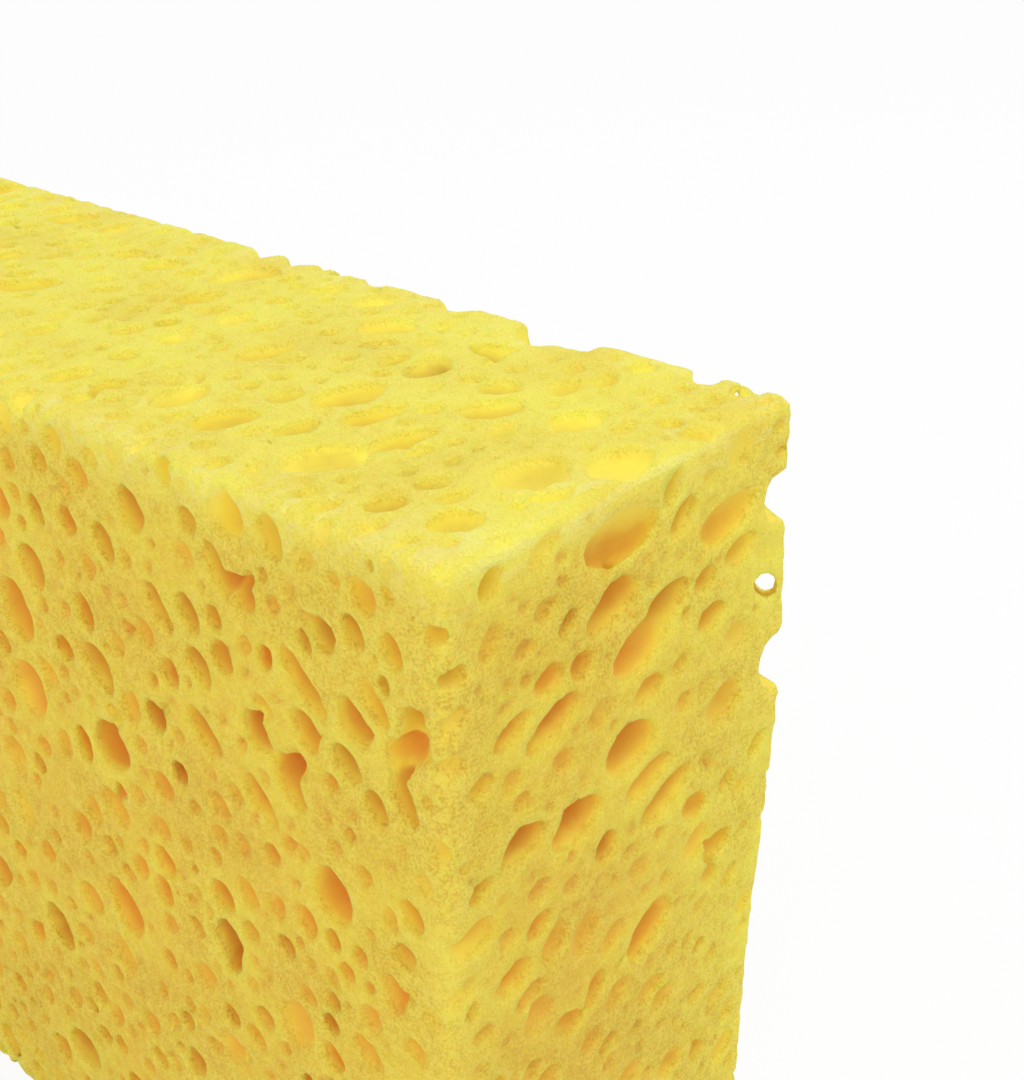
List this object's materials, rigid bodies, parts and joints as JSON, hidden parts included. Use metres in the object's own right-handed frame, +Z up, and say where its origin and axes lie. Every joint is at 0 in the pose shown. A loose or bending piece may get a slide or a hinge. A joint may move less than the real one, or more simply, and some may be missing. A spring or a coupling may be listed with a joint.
{
  "type": "cleaning sponge",
  "caption": "Rectangular open-pored cellulose sponge block for wiping and washing, standing on its long narrow side.",
  "frame": {"origin": "centre of the base, which is the long narrow side that the sponge stands on", "axes": "+X along the length, +Y through the thickness, +Z up along the height"},
  "size_m": [0.12, 0.04, 0.08],
  "materials": {
    "cellulose": "matt yellow regenerated cellulose foam, fine-grained between open pores"
  },
  "bodies": {
    "root": {"sponge": "cellulose"}
  },
  "joints": []
}
